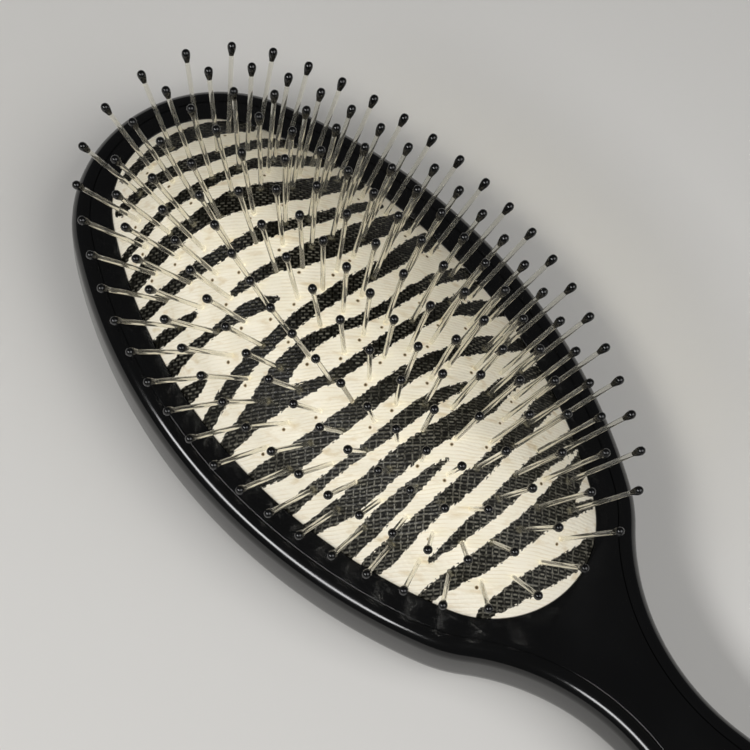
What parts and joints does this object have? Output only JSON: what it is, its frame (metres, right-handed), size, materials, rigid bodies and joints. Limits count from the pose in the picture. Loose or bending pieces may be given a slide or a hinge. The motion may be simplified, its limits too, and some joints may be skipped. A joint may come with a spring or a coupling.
{
  "type": "cushion hair brush",
  "caption": "Oval air-cushion hair brush with a glossy black body and handle, a domed zebra-print cushion and clear nylon pins with black ball tips.",
  "frame": {"origin": "on the flat back, under the middle of the oval head", "axes": "+Y along the brush to the far end of the head (-Y is the handle), +Z out of the cushion along the upright middle pins, +X across the head"},
  "size_m": [0.0878, 0.2468, 0.0574],
  "materials": {
    "black_plastic": "polished black",
    "zebra_canvas": "printed woven canvas over rubber",
    "clear_nylon": "clear, polished",
    "black_tip": "glossy dipped"
  },
  "bodies": {
    "body": {"back_shell": "black_plastic", "face_plate": "black_plastic", "cushion": "zebra_canvas"},
    "ring_1": {"pins_ring_1": "clear_nylon", "tips_ring_1": "black_tip"},
    "ring_2": {"pins_ring_2": "clear_nylon", "tips_ring_2": "black_tip"},
    "ring_3": {"pins_ring_3": "clear_nylon", "tips_ring_3": "black_tip"},
    "ring_4": {"pins_ring_4": "clear_nylon", "tips_ring_4": "black_tip"},
    "ring_5": {"pins_ring_5": "clear_nylon", "tips_ring_5": "black_tip"},
    "ring_6": {"pins_ring_6": "clear_nylon", "tips_ring_6": "black_tip"}
  },
  "joints": [
    {"name": "ring_1_press", "type": "slide", "parent": "body", "child": "ring_1", "axis": [0, 0, -1], "range_m": [0, 0.00143], "stiffness_N_per_m": 200},
    {"name": "ring_2_press", "type": "slide", "parent": "body", "child": "ring_2", "axis": [0, 0, -1], "range_m": [0, 0.00264], "stiffness_N_per_m": 200},
    {"name": "ring_3_press", "type": "slide", "parent": "body", "child": "ring_3", "axis": [0, 0, -1], "range_m": [0, 0.00363], "stiffness_N_per_m": 200},
    {"name": "ring_4_press", "type": "slide", "parent": "body", "child": "ring_4", "axis": [0, 0, -1], "range_m": [0, 0.00438], "stiffness_N_per_m": 200},
    {"name": "ring_5_press", "type": "slide", "parent": "body", "child": "ring_5", "axis": [0, 0, -1], "range_m": [0, 0.00488], "stiffness_N_per_m": 200},
    {"name": "ring_6_press", "type": "slide", "parent": "body", "child": "ring_6", "axis": [0, 0, -1], "range_m": [0, 0.005], "stiffness_N_per_m": 200, "deforming": ["cushion"]}
  ],
  "couplings": [
    {"joint": "ring_1_press", "follows": "ring_6_press", "ratio": 0.2843},
    {"joint": "ring_2_press", "follows": "ring_6_press", "ratio": 0.5264},
    {"joint": "ring_3_press", "follows": "ring_6_press", "ratio": 0.7243},
    {"joint": "ring_4_press", "follows": "ring_6_press", "ratio": 0.8755},
    {"joint": "ring_5_press", "follows": "ring_6_press", "ratio": 0.9757}
  ]
}
